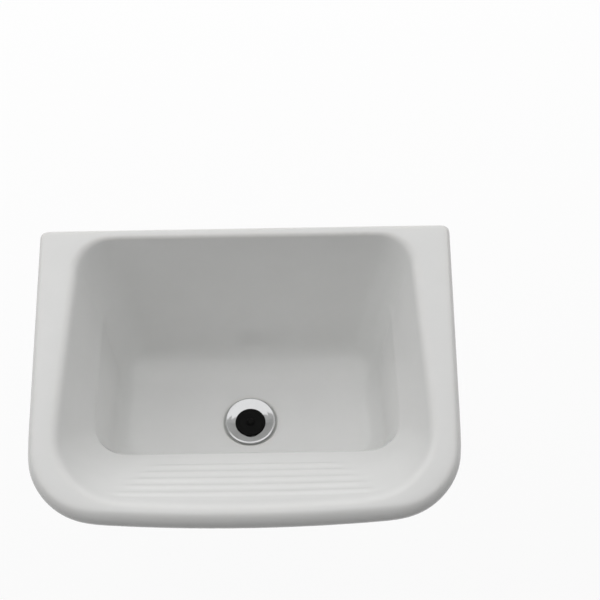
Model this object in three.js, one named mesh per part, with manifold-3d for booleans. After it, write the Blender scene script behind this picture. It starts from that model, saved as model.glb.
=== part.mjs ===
// A wall-hung ceramic laundry sink with a washboard, its waste fitting and its rubber plug.
// Millimetres. +X runs along the rim, -Y points out of the wall and +Z is up.
// The origin is in the middle of the flat band at the back, where the sink meets the wall.
// In this file "out" is a distance out of the wall, and "drop" is a distance below the rim's top.

import * as THREE from 'three';
import { mergeVertices } from 'three/addons/utils/BufferGeometryUtils.js';
import Module from 'manifold-3d';

const wasm = await Module();
wasm.setup();

// ---------------------------------------------------------------- driving dimensions

// Rim
const rimAboveOrigin = 10; // the rim's top above the origin
const rimWidthBack = 503; // width along the wall
const rimWidthFront = 509; // width that the two sides open to at the front
const rimDepth = 392; // from the wall to the middle of the front edge
const rimBow = 15; // how far the middle of the front edge stands out
const rimBackCorner = 7;
const rimFrontCorner = 77;
const rimBackEdge = 3; // rounding of the edge that touches the wall
const rollBack = 8; // radius of the rolled edge, at the wall
const rollFront = 16; // and at the front

// Bowl opening
const ledge = 12; // rim width along the wall
const sideRimBack = 52; // rim width at the sides, at the wall
const sideRimFront = 32; // and at the front
const frontRim = 31; // rim width along the front
const openingBackCorner = 43;
const openingFrontCorner = 70;
const lip = 10; // rounding from the rim into the bowl
const lipBack = 4; // its reach along the wall, where the rim is narrow

// Bowl
const wall = 12; // thickness of the casting
const bowlDepth = 205;
const backLean = 66; // how far the back wall comes forward on its way down
const shelfRun = 84; // the washboard's depth, seen from above
const creaseDrop = 90; // the washboard's lower edge, below the rim
const creaseInsetBack = 21.5; // how much narrower each side is at that level, at the back
const creaseInsetFront = 35.5; // and at the front
const creaseCorner = 38;
const creaseRound = 6; // rounding of the washboard's lower edge
const frontWallRun = 27; // from the washboard's lower edge back to the foot of the steep front wall
const floorInsetBack = 20; // how much narrower each side is at the floor than at the washboard's edge
const floorInsetFront = 19;
const floorBackCorner = 42;
const floorFillet = 28;
const floorFall = 4; // the floor's fall to the waste

// Washboard ribs
const ribCount = 5;
const ribStart = 41; // the lowest rib's distance up the slope
const ribEnd = 14; // the highest rib's distance from the slope's top
const ribRadius = 6;
const ribHeight = 1.1; // how far a rib stands out of the slope
const ribLengthLow = 250; // the lowest rib
const ribLengthHigh = 330; // the highest rib

// Wall lugs
const lugSetback = 8; // from the rim's edge in to a lug's outer edge
const lugThickness = 14;
const lugFootDrop = 102; // the lugs' lower edge
const lugFootWidth = 18; // width of that edge
const lugFootRound = 12;
const lugBoss = 17; // radius of the lug's corner round its hole
const lugHoleInset = 20; // from a lug's outer edge in to its hole
const lugHoleDrop = 47;
const lugHoleDiameter = 10;
const lugTopWidth = 91.5; // from a lug's outer edge in to the recess between the lugs
const recessFlare = 14; // how much further out the recess reaches at the lugs' foot
const recessCorner = 25;

// Waste and plug
const wasteForward = 7.5; // the waste's distance in front of the floor's middle
const seatDepth = 1; // the flange's seat below the lowest point of the floor
const seatMargin = 1.5; // the seat's radius beyond the flange's
const wasteFloor = 13; // thickness of the ceramic under the seat
const boreClearance = 2.5; // between the tail's thread and the ceramic
const flangeDiameter = 64;
const flangeEdge = 3.6; // thickness of the flange at its edge
const flangeBrim = 1; // bevel of the flange's upper edge
const dishDepth = 5.9; // the dish's fall from the flange's edge to the plug's seat
const tailDiameter = 41.9;
const tailBore = 32;
const tailLength = 82; // from under the flange to the tail's end
const upperSealThickness = 2;
const lowerSealThickness = 5;
const lowerSealDiameter = 60;
const washerThickness = 1.5;
const washerDiameter = 58;
const nutAcrossFlats = 54;
const nutThickness = 10;
const threadClearance = 0.35; // rings and nut round the tail's thread
const plugDiameter = 37;
const plugThickness = 9;
const plugTaper = 1.6; // the plug's radius shrinks by this much on its way down
const plugDish = 1.2; // hollow of the plug's top
const gripRadius = 4.5;
const gripHeight = 3;
const gap = 0.3; // between pieces that rest on each other

// Fineness of the curves
const backCornerSteps = 5;
const frontCornerSteps = 8;
const backSteps = 4;
const sideSteps = 4;
const frontSteps = 12;
const rollSteps = 8;
const lipSteps = 4;
const filletSteps = 5;
const turnSteps = 48; // steps round the waste fitting

// ---------------------------------------------------------------- helpers

const mix = THREE.MathUtils.lerp;

// A closed geometry as a solid that can be cut and joined.
function solidOf(geometry) {
  const bare = geometry.clone();
  bare.deleteAttribute('normal');
  bare.deleteAttribute('uv');
  const merged = mergeVertices(bare, 1e-4);
  const vertProperties = new Float32Array(merged.attributes.position.array);
  const triVerts = new Uint32Array(merged.index.array);
  return new wasm.Manifold(new wasm.Mesh({ numProp: 3, vertProperties, triVerts }));
}

// A solid as a geometry again.
function geometryOf(solid) {
  const mesh = solid.getMesh();
  const geometry = new THREE.BufferGeometry();
  geometry.setAttribute('position', new THREE.BufferAttribute(mesh.vertProperties, 3));
  geometry.setIndex(new THREE.BufferAttribute(mesh.triVerts, 1));
  geometry.computeVertexNormals();
  return geometry;
}

function material(color, roughness, metalness) {
  return new THREE.MeshStandardMaterial({ color, roughness, metalness });
}

function piece(name, geometry, look) {
  const mesh = new THREE.Mesh(geometry, look);
  mesh.name = name;
  return mesh;
}

// A height in this file's frame, from a drop below the rim.
const height = (drop) => rimAboveOrigin - drop;

// The rounding of one corner of an outline, as points from its first tangent point to its last.
function roundedCorner(before, corner, after, radius, steps) {
  const toBefore = before.clone().sub(corner).normalize();
  const toAfter = after.clone().sub(corner).normalize();
  const halfAngle = Math.acos(toBefore.dot(toAfter)) / 2;
  const bisector = toBefore.clone().add(toAfter).normalize();
  const centre = corner.clone().addScaledVector(bisector, radius / Math.sin(halfAngle));
  const reach = radius / Math.tan(halfAngle);
  const first = corner.clone().addScaledVector(toBefore, reach).sub(centre);
  const last = corner.clone().addScaledVector(toAfter, reach).sub(centre);
  const sweep = Math.atan2(first.cross(last), first.dot(last));
  const points = [];
  for (let step = 0; step <= steps; step += 1) {
    const turned = first.clone().rotateAround(new THREE.Vector2(), (sweep * step) / steps);
    points.push(turned.add(centre));
  }
  return points;
}

function pointsBetween(first, last, steps) {
  const points = [];
  for (let step = 1; step < steps; step += 1) {
    points.push(first.clone().lerp(last, step / steps));
  }
  return points;
}

// A level is a rounded, slightly tapered outline, seen from above, with a bowed front:
// back and front are distances out of the wall, halfBack and halfFront are half widths.
// Its drop may change steadily from the wall to the rim's full depth.
function levelRing(level) {
  const corners = [
    new THREE.Vector2(level.halfBack, -level.back),
    new THREE.Vector2(-level.halfBack, -level.back),
    new THREE.Vector2(-level.halfFront, -level.front),
    new THREE.Vector2(level.halfFront, -level.front),
  ];
  const radii = [level.cornerBack, level.cornerBack, level.cornerFront, level.cornerFront];
  const steps = [backCornerSteps, backCornerSteps, frontCornerSteps, frontCornerSteps];
  const runs = [backSteps, sideSteps, frontSteps, sideSteps];
  const arcs = corners.map((corner, i) =>
    roundedCorner(corners[(i + 3) % 4], corner, corners[(i + 1) % 4], radii[i], steps[i]));
  const outline = [];
  arcs.forEach((arc, i) => {
    const next = arcs[(i + 1) % 4];
    outline.push(...arc, ...pointsBetween(arc.at(-1), next[0], runs[i]));
  });
  return outline.map((point) => {
    const cornerStart = level.front - level.cornerFront;
    const towardsFront = THREE.MathUtils.smoothstep(-point.y, cornerStart, level.front);
    const bow = level.bow * towardsFront * (1 - (point.x / level.halfFront) ** 2);
    const drop = mix(level.dropBack, level.dropFront, -point.y / rimDepth);
    return new THREE.Vector3(point.x, point.y - bow, height(drop));
  });
}

// A closed solid through levels that are listed from the lowest to the highest.
function loft(levels, lowMiddle, highMiddle) {
  const rings = levels.map(levelRing);
  const count = rings[0].length;
  const points = [...rings.flat(), lowMiddle, highMiddle];
  const low = points.length - 2;
  const high = points.length - 1;
  const lastRing = (rings.length - 1) * count;
  const faces = [];
  for (let at = 0; at < count; at += 1) {
    const next = (at + 1) % count;
    for (let ring = 0; ring < rings.length - 1; ring += 1) {
      const here = ring * count;
      const above = here + count;
      faces.push(here + at, here + next, above + next);
      faces.push(here + at, above + next, above + at);
    }
    faces.push(low, next, at);
    faces.push(high, lastRing + at, lastRing + next);
  }
  const geometry = new THREE.BufferGeometry().setFromPoints(points);
  geometry.setIndex(faces);
  return solidOf(geometry);
}

// An outline in the wall's plane, given as half width and drop, as a plate out of the wall.
function wallPlate(shape, thickness) {
  const geometry = new THREE.ExtrudeGeometry(shape, { depth: thickness, bevelEnabled: false });
  geometry.rotateX(Math.PI / 2);
  return solidOf(geometry);
}

// ---------------------------------------------------------------- bowl levels

const frontAtSides = rimDepth - rimBow; // the front edge, without its bow
const openingFront = frontAtSides - frontRim;
const openingHalfBack = rimWidthBack / 2 - sideRimBack;
const openingHalfFront = rimWidthFront / 2 - sideRimFront;
const creaseOut = openingFront - shelfRun;
const creaseHalfBack = openingHalfBack - creaseInsetBack;
const creaseHalfFront = openingHalfFront - creaseInsetFront;
const footOut = creaseOut - frontWallRun;
const floorHalfBack = creaseHalfBack - floorInsetBack;
const floorHalfFront = creaseHalfFront - floorInsetFront;
const wasteOut = (ledge + backLean + footOut) / 2 + wasteForward;

// The inside of the bowl at one drop.
function bowlLevel(drop) {
  const upper = THREE.MathUtils.clamp((drop - lip) / (creaseDrop - lip), 0, 1);
  const lower = THREE.MathUtils.clamp((drop - creaseDrop) / (bowlDepth - creaseDrop), 0, 1);
  const between = (top, crease, floor) => mix(mix(top, crease, upper), floor, lower);
  return {
    dropBack: drop,
    dropFront: drop,
    back: ledge + (backLean * drop) / bowlDepth,
    front: between(openingFront, creaseOut, footOut),
    halfBack: between(openingHalfBack, creaseHalfBack, floorHalfBack),
    halfFront: between(openingHalfFront, creaseHalfFront, floorHalfFront),
    cornerBack: between(openingBackCorner, floorBackCorner, floorBackCorner),
    cornerFront: between(openingFrontCorner, creaseCorner, creaseCorner),
    bow: rimBow * (1 - upper) ** 2,
  };
}

// The same outline, grown outwards all round, or shrunk when the distance is negative.
function grown(level, distance) {
  return {
    ...level,
    back: level.back - distance,
    front: level.front + distance,
    halfBack: level.halfBack + distance,
    halfFront: level.halfFront + distance,
    cornerBack: level.cornerBack + distance,
    cornerFront: level.cornerFront + distance,
  };
}

// Levels of the bowl's inside, from the floor to the rim. The drops crowd where the form turns.
function bowlInside() {
  const floorRounding = [];
  for (let step = filletSteps; step >= 0; step -= 1) {
    const turn = (Math.PI / 2) * (step / filletSteps);
    const drop = bowlDepth - floorFillet * (1 - Math.sin(turn));
    floorRounding.push(grown(bowlLevel(drop), -floorFillet * (1 - Math.cos(turn))));
  }
  const creaseLevels = [creaseRound, 0, -creaseRound].map((below) => bowlLevel(creaseDrop + below));
  const shelfLevels = [0.3, 0.55, 0.8].map((rise) => bowlLevel(mix(creaseDrop, lip, rise)));
  const lipLevels = [];
  for (let step = 0; step <= lipSteps; step += 1) {
    const turn = (Math.PI / 2) * (step / lipSteps);
    const reach = 1 - Math.cos(turn);
    const drop = lip * (1 - Math.sin(turn));
    const level = grown(bowlLevel(lip), lip * reach);
    const back = bowlLevel(lip).back - lipBack * reach;
    lipLevels.push({ ...level, back, dropBack: drop, dropFront: drop });
  }
  const open = { ...lipLevels.at(-1), dropBack: -lip, dropFront: -lip };
  const levels = [...floorRounding, ...creaseLevels, ...shelfLevels, ...lipLevels, open];
  const floorMiddle = new THREE.Vector3(0, -wasteOut, height(bowlDepth + floorFall));
  return loft(levels, floorMiddle, new THREE.Vector3(0, -wasteOut, height(-lip)));
}

// ---------------------------------------------------------------- outside of the casting

const shelfSlope = Math.atan2(creaseDrop - lip, shelfRun);
const shelfLength = Math.hypot(creaseDrop - lip, shelfRun);
const shelfShift = wall / Math.cos(shelfSlope); // how far the shelf's underside lies below its top
const seatDrop = bowlDepth + floorFall + seatDepth;
const undersideDrop = seatDrop + wasteFloor;

// The outside of the bowl at one drop: the inside, grown by the wall. Down to the washboard's foot,
// the front follows the washboard's underside.
function shellLevel(drop) {
  const shell = grown(bowlLevel(Math.min(drop, bowlDepth)), wall);
  if (drop > creaseDrop + shelfShift) {
    return { ...shell, dropBack: drop, dropFront: drop };
  }
  const shelfAbove = bowlLevel(Math.max(drop - shelfShift, lip));
  const front = Math.max(shelfAbove.front, creaseOut + wall);
  return { ...shell, front, bow: shelfAbove.bow, dropBack: drop, dropFront: drop };
}

// The rim's outline, drawn in by its roll at one turn of the rolled edge: -1 is under it and 1 is on top.
function rimLevel(turn) {
  const angle = (Math.PI / 2) * turn;
  const inset = 1 - Math.cos(angle);
  const down = 1 - Math.sin(angle);
  return {
    dropBack: rollBack * down,
    dropFront: rollFront * down,
    back: turn > 0 ? rimBackEdge * inset : 0,
    front: frontAtSides - rollFront * inset,
    halfBack: rimWidthBack / 2 - rollBack * inset,
    halfFront: rimWidthFront / 2 - rollFront * inset,
    cornerBack: rimBackCorner,
    cornerFront: rimFrontCorner - rollFront * inset,
    bow: rimBow,
  };
}

function bowlOutside() {
  const outerFillet = floorFillet + wall;
  const levels = [];
  for (let step = filletSteps; step >= 0; step -= 1) {
    const turn = (Math.PI / 2) * (step / filletSteps);
    const drop = undersideDrop - outerFillet * (1 - Math.sin(turn));
    levels.push(grown(shellLevel(drop), -outerFillet * (1 - Math.cos(turn))));
  }
  const underRim = 2 * rollFront + lip;
  const shelfFoot = creaseDrop + shelfShift;
  for (const rise of [0, 0.35, 0.7, 1]) {
    levels.push(shellLevel(mix(shelfFoot, underRim, rise)));
  }
  levels.push({ ...shellLevel(2 * rollFront), dropBack: 2 * rollBack, dropFront: 2 * rollFront });
  for (let step = 0; step <= rollSteps; step += 1) {
    levels.push(rimLevel(mix(-1, 1, step / rollSteps)));
  }
  const below = new THREE.Vector3(0, -wasteOut, height(undersideDrop));
  return loft(levels, below, new THREE.Vector3(0, -wasteOut, height(0)));
}

// ---------------------------------------------------------------- lugs, ribs and holes

const lugHalf = rimWidthBack / 2 - lugSetback;
const lugHoleHalf = lugHalf - lugHoleInset;
const recessHalfTop = lugHalf - lugTopWidth;
const recessHalfFoot = recessHalfTop + recessFlare;
const lugFootHalf = recessHalfFoot + lugFootWidth;

// One lug in the wall's plane: a straight outer edge, a round corner about the hole, a slanted edge
// to the foot, and an inner edge that ends in a hollow corner under the back band.
function lugShape() {
  const hole = new THREE.Vector2(lugHoleHalf, height(lugHoleDrop));
  const foot = new THREE.Vector2(lugFootHalf, height(lugFootDrop));
  const bandFoot = height(2 * rollBack);
  const away = foot.clone().sub(hole);
  const tangent = Math.atan2(away.y, away.x) + Math.acos(lugBoss / away.length());
  const shape = new THREE.Shape();
  shape.moveTo(recessHalfTop - recessCorner, height(rollBack));
  shape.lineTo(recessHalfTop - recessCorner, bandFoot);
  shape.quadraticCurveTo(recessHalfTop, bandFoot, recessHalfTop, bandFoot - recessCorner);
  shape.lineTo(recessHalfFoot, foot.y);
  shape.lineTo(foot.x - lugFootRound, foot.y);
  const slant = hole.clone().add(new THREE.Vector2(lugBoss, 0).rotateAround(new THREE.Vector2(), tangent));
  const rounded = foot.clone().lerp(slant, lugFootRound / foot.distanceTo(slant));
  shape.quadraticCurveTo(foot.x, foot.y, rounded.x, rounded.y);
  shape.absarc(hole.x, hole.y, lugBoss, tangent, 0, false);
  shape.lineTo(lugHalf, height(rollBack));
  shape.closePath();
  return shape;
}

// The thick root of a lug, which runs forward from the wall until it meets the bowl.
function lugRootShape() {
  const shape = new THREE.Shape();
  shape.moveTo(recessHalfTop, height(rollBack));
  shape.lineTo(recessHalfTop, height(2 * rollBack) - recessCorner);
  shape.lineTo(recessHalfFoot, height(lugFootDrop));
  shape.lineTo(lugFootHalf - lugFootRound, height(lugFootDrop));
  shape.lineTo(lugFootHalf, height(lugFootDrop - lugFootRound));
  shape.lineTo(lugFootHalf, height(rollBack));
  shape.closePath();
  return shape;
}

function rightLug() {
  const meetsBowl = bowlLevel(lugFootDrop).back + bowlLevel(lugFootDrop).cornerBack;
  return wallPlate(lugShape(), lugThickness).add(wallPlate(lugRootShape(), meetsBowl));
}

function lugHole(side) {
  const radius = lugHoleDiameter / 2;
  const hole = new THREE.CylinderGeometry(radius, radius, 3 * lugThickness, 24);
  hole.translate(side * lugHoleHalf, 0, height(lugHoleDrop));
  return solidOf(hole);
}

// A rib is a bar with round ends, sunk into the washboard until only its top stands out.
function rib(index) {
  const place = index / (ribCount - 1);
  const along = mix(ribStart, shelfLength - ribEnd, place);
  const out = creaseOut + along * Math.cos(shelfSlope);
  const drop = creaseDrop - along * Math.sin(shelfSlope);
  const sunk = ribRadius - ribHeight;
  const length = mix(ribLengthLow, ribLengthHigh, place);
  const middleOut = out + bowlLevel(drop).bow + sunk * Math.sin(shelfSlope);
  const bar = new THREE.CapsuleGeometry(ribRadius, length - 2 * ribRadius, 3, 12);
  bar.rotateZ(Math.PI / 2);
  bar.translate(0, -middleOut, height(drop + sunk * Math.cos(shelfSlope)));
  return solidOf(bar);
}

// ---------------------------------------------------------------- waste fitting and plug

// Profiles are pairs of radius and rise above the flange's seat in the ceramic. The flange, its seal
// and its seat are dished alike, so each follows the same cone.
const flangeRadius = flangeDiameter / 2;
const tailRadius = tailDiameter / 2;
const boreRadius = tailBore / 2;
const castBoreRadius = tailRadius + boreClearance;
const plugRadius = plugDiameter / 2;
const dishInner = plugRadius + gap;
const dishSlope = dishDepth / (flangeRadius - dishInner);
const cone = (radius) => -dishSlope * (flangeRadius - radius);

const sealFoot = gap;
const flangeFoot = sealFoot + upperSealThickness + gap;
const plugSeatTop = flangeFoot + flangeEdge - dishDepth;
const plugTop = plugSeatTop + plugTaper;
const plugFoot = plugTop - plugThickness;
const tailEnd = flangeFoot - tailLength;

// What the waste takes out of the ceramic: its bore, its dished seat and the room above the seat.
function wasteCut() {
  const seatRadius = flangeRadius + seatMargin;
  const above = seatDepth + floorFall + lip;
  const below = -wasteFloor - lip;
  const profile = [
    [0, below],
    [castBoreRadius, below],
    [castBoreRadius, cone(castBoreRadius)],
    [flangeRadius, 0],
    [seatRadius, 0],
    [seatRadius, above],
    [0, above],
  ];
  return solidOf(turned(profile).translate(0, -wasteOut, height(seatDrop)));
}

// A closed profile of radius and rise, turned about the waste's axis.
function turned(profile) {
  const outline = profile.map(([radius, rise]) => new THREE.Vector2(radius, rise));
  const closed = [...outline, outline[0]];
  return new THREE.LatheGeometry(closed, turnSteps).rotateX(Math.PI / 2);
}

function upperSeal() {
  const inner = tailRadius + threadClearance;
  const outer = flangeRadius - seatMargin;
  return turned([
    [inner, sealFoot + cone(inner)],
    [outer, sealFoot + cone(outer)],
    [outer, sealFoot + upperSealThickness + cone(outer)],
    [inner, sealFoot + upperSealThickness + cone(inner)],
  ]);
}

function wasteFlange() {
  const shoulder = plugFoot - gap;
  const plugFootRadius = plugRadius - plugTaper;
  return turned([
    [boreRadius, tailEnd],
    [tailRadius, tailEnd],
    [tailRadius, flangeFoot + cone(tailRadius)],
    [flangeRadius, flangeFoot],
    [flangeRadius, flangeFoot + flangeEdge - flangeBrim],
    [flangeRadius - flangeBrim, flangeFoot + flangeEdge],
    [dishInner, plugSeatTop],
    [plugFootRadius + gap, shoulder],
    [boreRadius, shoulder],
  ]);
}

function flatRing(inner, outer, foot, thickness) {
  return turned([[inner, foot], [outer, foot], [outer, foot + thickness], [inner, foot + thickness]]);
}

function backnut(foot) {
  const corner = nutAcrossFlats / 2 / Math.cos(Math.PI / 6);
  const inner = tailRadius + threadClearance;
  const blank = new THREE.CylinderGeometry(corner, corner, nutThickness, 6);
  blank.rotateX(Math.PI / 2);
  blank.translate(0, 0, foot + nutThickness / 2);
  const bore = new THREE.CylinderGeometry(inner, inner, 3 * nutThickness, turnSteps);
  bore.rotateX(Math.PI / 2);
  bore.translate(0, 0, foot);
  return geometryOf(solidOf(blank).subtract(solidOf(bore)));
}

function plug() {
  const footRadius = plugRadius - plugTaper;
  const edge = plugDish;
  return turned([
    [0, plugFoot],
    [footRadius, plugFoot],
    [plugRadius, plugTop - edge],
    [plugRadius - edge, plugTop],
    [plugRadius - 3 * edge, plugTop - plugDish],
    [gripRadius, plugTop - plugDish],
    [gripRadius - edge, plugTop + gripHeight],
    [0, plugTop + gripHeight],
  ]);
}

// ---------------------------------------------------------------- the assembly

function sinkBody() {
  const lug = rightLug();
  let body = bowlOutside().add(lug).add(lug.mirror([1, 0, 0])).subtract(bowlInside());
  for (let index = 0; index < ribCount; index += 1) {
    body = body.add(rib(index));
  }
  body = body.subtract(wasteCut()).subtract(lugHole(1)).subtract(lugHole(-1));
  return geometryOf(body);
}

const glaze = material(0xe2e2e0, 0.12, 0);
const chrome = material(0xd6d8da, 0.08, 1);
const brass = material(0xb8973f, 0.35, 1);
const greyRubber = material(0x4a4b4c, 0.85, 0);
const whitePlastic = material(0xe6e4dc, 0.5, 0);
const blackRubber = material(0x101010, 0.6, 0);

const sink = new THREE.Group();
sink.add(piece('sink_body', sinkBody(), glaze));

// Everything on the waste's axis stands in a group at the flange's seat.
const waste = new THREE.Group();
waste.position.set(0, -wasteOut, height(seatDrop));
const ringInner = tailRadius + threadClearance;
const lowerSealFoot = -wasteFloor - gap - lowerSealThickness;
const washerFoot = lowerSealFoot - gap - washerThickness;
const nutFoot = washerFoot - gap - nutThickness;
const lowerSeal = flatRing(ringInner, lowerSealDiameter / 2, lowerSealFoot, lowerSealThickness);
const washer = flatRing(ringInner, washerDiameter / 2, washerFoot, washerThickness);
waste.add(
  piece('upper_seal', upperSeal(), greyRubber),
  piece('waste_flange', wasteFlange(), chrome),
  piece('lower_seal', lowerSeal, greyRubber),
  piece('friction_washer', washer, whitePlastic),
  piece('backnut', backnut(nutFoot), brass),
  piece('plug', plug(), blackRubber),
);
sink.add(waste);

export default sink;
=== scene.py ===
# %% [markdown]
# # A wall-hung laundry sink
# The sink is one thick ceramic casting with a white glaze. A washboard slopes down from its front
# rim into a deep bowl, two lugs at the back carry the bolts, and a chromed waste with a black rubber
# plug sits in the floor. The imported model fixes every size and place. This lesson builds the smooth
# glazed form and the turned metal around it, in metres, in the same frame: +X runs along the rim,
# -Y points out of the wall and +Z is up.

# %% Load the frame
from dataclasses import dataclass, replace
from math import acos, atan2, copysign, cos, degrees, hypot, pi, radians, sin, sqrt, tan

import bmesh
import bpy
import numpy as np
from mathutils import Matrix, Vector


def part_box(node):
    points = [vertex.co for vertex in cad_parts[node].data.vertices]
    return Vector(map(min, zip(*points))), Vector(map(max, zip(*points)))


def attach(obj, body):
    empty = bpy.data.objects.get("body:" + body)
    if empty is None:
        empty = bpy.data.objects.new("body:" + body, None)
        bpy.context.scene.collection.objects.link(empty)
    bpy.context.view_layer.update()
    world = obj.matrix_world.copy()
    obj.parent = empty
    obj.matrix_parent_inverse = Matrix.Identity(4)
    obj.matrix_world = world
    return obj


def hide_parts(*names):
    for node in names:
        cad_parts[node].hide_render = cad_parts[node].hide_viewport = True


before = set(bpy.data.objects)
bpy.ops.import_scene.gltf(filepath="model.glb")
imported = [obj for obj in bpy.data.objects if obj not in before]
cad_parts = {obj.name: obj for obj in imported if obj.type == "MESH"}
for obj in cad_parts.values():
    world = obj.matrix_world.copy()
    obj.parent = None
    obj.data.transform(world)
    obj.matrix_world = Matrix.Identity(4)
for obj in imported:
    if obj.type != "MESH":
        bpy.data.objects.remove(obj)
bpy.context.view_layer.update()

sink_low, sink_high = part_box("sink_body")
waste_low, waste_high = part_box("waste_flange")

# %% [markdown]
# Operators act on everything that is selected, so each step starts by deselecting, and a small
# helper makes one object the only selected and active one. Modifiers are applied as they are made,
# so that what is printed after each step is the real mesh.


# %% Helpers for selecting and for modifiers
def deselect():
    if bpy.context.object and bpy.context.object.mode != "OBJECT":
        bpy.ops.object.mode_set(mode="OBJECT")
    bpy.ops.object.select_all(action="DESELECT")


def activate(piece):
    deselect()
    piece.select_set(True)
    bpy.context.view_layer.objects.active = piece


def named(name):
    """The object that the last operator made, under its own name."""
    piece = bpy.context.object
    piece.name = name
    piece.data.name = name
    return piece


def finish_with(piece, kind, **values):
    """Adds one modifier, sets it and applies it."""
    activate(piece)
    modifier = piece.modifiers.new(kind.lower(), kind)
    for key, value in values.items():
        setattr(modifier, key, value)
    bpy.ops.object.modifier_apply(modifier=modifier.name)
    return piece


def subdivided(piece, levels):
    return finish_with(piece, "SUBSURF", levels=levels, render_levels=levels)


def report(piece):
    mesh = piece.data
    triangles = sum(len(face.vertices) - 2 for face in mesh.polygons)
    print(f"{piece.name}: {len(mesh.vertices)} vertices, {triangles} triangles")


def mix(a, b, share):
    return a + (b - a) * share


def clamp(value):
    return min(max(value, 0.0), 1.0)


def smooth(start, end, value):
    """0 before start, 1 after end, and a smooth step between them."""
    share = clamp((value - start) / (end - start))
    return share * share * (3 - 2 * share)


# %% [markdown]
# ## The casting
# The casting is a single skin that runs from the waste hole up the inside of the bowl, over the rim
# and down the outside back to the hole. So it is modelled as a person would pull it from a circle:
# the loop of the waste hole is extruded again and again, and each new loop is laid on the outline
# that the sink has at that level. The loops make a coarse cage, and subdivision turns the cage into
# the soft form of slip-cast ceramic. Solids joined and cut by Booleans could make the sink too, but
# each of their seams would then need a round edge of its own, and sculpting would lose the sizes.
#
# An outline is seen from above. "out" is a distance out of the wall and "drop" a distance below
# the rim's top.

# %% Sizes of the rim and the opening
rim_top = sink_high.z
rim_depth = -sink_low.y
rim_half_back = 0.2515
rim_half_front = 0.2545
rim_bow = 0.015  # how far the front edge bows out in the middle
rim_back_corner = 0.007
rim_front_corner = 0.077
rim_back_edge = 0.003
rim_edge_tilt = radians(28)  # how steeply the roll starts where the flat rim ends
roll_back = 0.008  # the rolled edge's radius at the back
roll_front = 0.016  # and in front
ledge = 0.012  # from the wall to the opening
side_rim_back = 0.052
side_rim_front = 0.032
front_rim = 0.031
lip = 0.010  # the drop at which the washboard's plane would start
lip_back = (0.004, 0.004)  # how far the lip reaches down the wall and onto the rim
lip_side = (0.010, 0.010)
lip_front = (0.011, 0.0065)
print("rim", round(2 * rim_half_front, 4), "wide,", round(rim_depth, 4), "deep")

# %% Sizes of the bowl
wall = 0.012
bowl_depth = 0.205
back_lean = 0.066  # how far the back wall comes forward on its way down
shelf_run = 0.084  # the washboard's depth, seen from above
crease_drop = 0.090  # the washboard's lower edge
crease_inset_back = 0.0215  # how much narrower each side is at that level
crease_inset_front = 0.0355
crease_round = 0.006
front_wall_run = 0.027
floor_inset_back = 0.020  # and how much narrower again at the floor
floor_inset_front = 0.019
opening_back_corner = 0.043
opening_front_corner = 0.070
floor_back_corner = 0.042
crease_corner = 0.038
floor_fillet = 0.028
floor_fall = 0.004
floor_dish = 0.0034  # how much lower the floor lies at the waste
floor_dish_span = (0.030, 0.150)  # where round the waste it starts to rise, and ends

# %% Sizes of the waste's seat in the floor
seat_clearance = 0.0015
seat_sinks = 0.001  # from the floor there down to the seat
seat_drop = bowl_depth + floor_fall + seat_sinks
seat_radius = waste_high.x + seat_clearance
seat_dish = 0.0038  # and how much lower again it lies at the hole
seat_flare = 0.0005
cast_bore = 0.02345
bore_break = 0.001  # how far the hole's upper edge is broken
bore_foot = 0.002
underside_drop = rim_top - sink_low.z
waste_out = -(waste_low.y + waste_high.y) / 2
print("waste", round(waste_out, 4), "out, its seat", round(seat_drop, 4), "below the rim")

# %% What follows from those sizes
front_at_sides = rim_depth - rim_bow
opening_front = front_at_sides - front_rim
shelf_slope = atan2(crease_drop - lip, shelf_run)
shelf_length = hypot(crease_drop - lip, shelf_run)
shelf_shift = wall / cos(shelf_slope)
print("washboard slope", round(degrees(shelf_slope), 1), "degrees, length", round(shelf_length, 4))


# %% [markdown]
# A level's outline is a rounded rectangle that widens to the front and bows out there. A point on
# it is named by the stretch it lies on and its share of the way along that stretch, so that the
# same column of the cage can be found again at every level.


# %% An outline and the points on it
@dataclass
class Outline:
    back: float
    front: float
    half_back: float
    half_front: float
    corner_back: float
    corner_front: float
    bow: float

    def grown(self, by):
        return replace(
            self,
            back=self.back - by,
            front=self.front + by,
            half_back=self.half_back + by,
            half_front=self.half_front + by,
            corner_back=self.corner_back + by,
            corner_front=self.corner_front + by,
        )

    def at(self, stretch, share):
        """(half width, out) of a point of the right half."""
        back_middle = Vector((0, self.back))
        back = Vector((self.half_back, self.back))
        front = Vector((self.half_front, self.front))
        front_middle = Vector((0, self.front))
        back_arc = corner_arc(back_middle, back, front, self.corner_back)
        front_arc = corner_arc(back, front, front_middle, self.corner_front)
        point = {
            "back": lambda: back_middle.lerp(back_arc(0), share),
            "back_corner": lambda: back_arc(share),
            "side": lambda: back_arc(1).lerp(front_arc(0), share),
            "front_corner": lambda: front_arc(share),
            "front": lambda: front_arc(1).lerp(front_middle, share),
        }[stretch]()
        towards_front = smooth(self.front - self.corner_front, self.front, point.y)
        point.y += self.bow * towards_front * (1 - (point.x / self.half_front) ** 2)
        return point


def corner_arc(before, corner, after, radius):
    """The rounding of a corner as a function: its first tangent point at 0, its last at 1."""
    to_before = (before - corner).normalized()
    to_after = (after - corner).normalized()
    half_angle = acos(to_before.dot(to_after)) / 2
    centre = corner + (to_before + to_after).normalized() * (radius / sin(half_angle))
    first = corner + to_before * (radius / tan(half_angle)) - centre
    swept = copysign(pi - 2 * half_angle, -to_before.cross(to_after))
    return lambda share: centre + Matrix.Rotation(swept * share, 2) @ first


# %% [markdown]
# The columns of the cage run from the middle of the back (0) to the middle of the front, and are
# mirrored to the other side. They crowd in the back corner, because on the outside the lug has to
# come out of the same columns: its recess, step, back face, edge, front face and root. A route lists
# the columns as stretches and shares, once for the bowl and once for the rim.

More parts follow.
